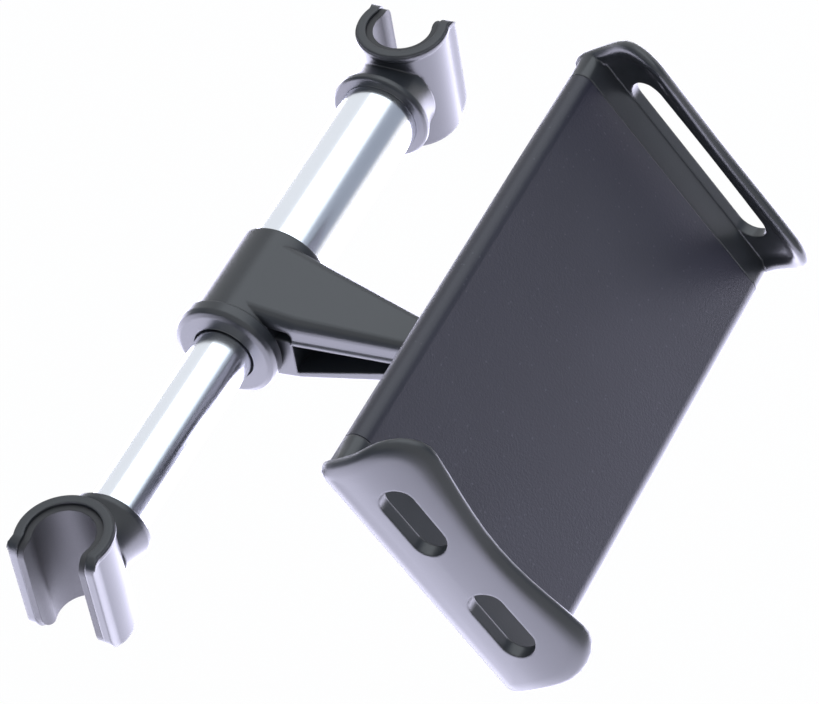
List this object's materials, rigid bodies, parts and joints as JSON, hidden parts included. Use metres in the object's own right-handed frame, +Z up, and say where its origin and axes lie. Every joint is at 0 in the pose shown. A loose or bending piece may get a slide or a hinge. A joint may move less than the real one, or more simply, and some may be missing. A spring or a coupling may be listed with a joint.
{
  "type": "headrest tablet mount",
  "caption": "Sprung rod that hooks between a car seat's headrest posts, with an arm and a ball joint that carry a tray whose sprung jaws grip a tablet.",
  "frame": {"origin": "on the axis of the right headrest post, level with the axis of the rod", "axes": "+X out along the rod, from the left post to the right post and beyond; +Z up along the posts; the tray faces -Y"},
  "size_m": [0.1806, 0.1218, 0.0674],
  "materials": {
    "black_plastic": "fine satin texture",
    "tray_plastic": "fine speckled texture",
    "pad_rubber": "matte",
    "polished_tube": "polished",
    "spring_steel": "plain",
    "nylon": "plain"
  },
  "bodies": {
    "frame": {"outer_tube": "polished_tube", "hub_arm": "black_plastic", "end_ring": "black_plastic", "hub_screw": "spring_steel", "right_hook": "black_plastic", "right_pad": "pad_rubber", "ball_stud": "spring_steel", "return_spring": "spring_steel"},
    "guide": {"tube_guide": "nylon"},
    "small_rod": {"inner_tube": "polished_tube", "left_hook": "black_plastic", "left_pad": "pad_rubber"},
    "seat": {"ball_seat": "nylon"},
    "nut": {"lock_nut": "black_plastic"},
    "tray": {"tray_front": "tray_plastic", "tray_back": "black_plastic", "tray_screws": "spring_steel", "right_spring_peg": "spring_steel", "left_spring_peg": "spring_steel", "right_jaw_spring": "spring_steel", "left_jaw_spring": "spring_steel"},
    "jaw_right": {"right_jaw": "black_plastic"},
    "jaw_left": {"left_jaw": "black_plastic"}
  },
  "joints": [
    {"name": "rod_slide", "type": "slide", "parent": "frame", "child": "guide", "axis": [1, 0, 0], "range_m": [0, 0.04], "stiffness_N_per_m": 150, "springref_m": -0.02, "deforming": ["return_spring"]},
    {"name": "rod_twist", "type": "hinge", "parent": "guide", "child": "small_rod", "pos_m": [-0.0826, 0, 0], "axis": [1, 0, 0], "continuous": true},
    {"name": "ball_tilt", "type": "hinge", "parent": "frame", "child": "seat", "pos_m": [-0.0826, -0.0646, 0], "axis": [1, 0, 0], "range_deg": [-2, 70]},
    {"name": "ball_pan", "type": "hinge", "parent": "seat", "child": "nut", "pos_m": [-0.0826, -0.0646, 0], "axis": [0, 0.5446, 0.8387], "range_deg": [-20, 20]},
    {"name": "ball_spin", "type": "hinge", "parent": "nut", "child": "tray", "pos_m": [-0.0826, -0.0646, 0], "axis": [0, -0.8387, 0.5446], "continuous": true},
    {"name": "right_jaw_slide", "type": "slide", "parent": "tray", "child": "jaw_right", "axis": [1, 0, 0], "range_m": [0, 0.04], "stiffness_N_per_m": 100, "springref_m": -0.03, "deforming": ["right_jaw_spring"]},
    {"name": "left_jaw_slide", "type": "slide", "parent": "tray", "child": "jaw_left", "axis": [-1, 0, 0], "range_m": [0, 0.04], "stiffness_N_per_m": 100, "springref_m": -0.03, "deforming": ["left_jaw_spring"]}
  ]
}
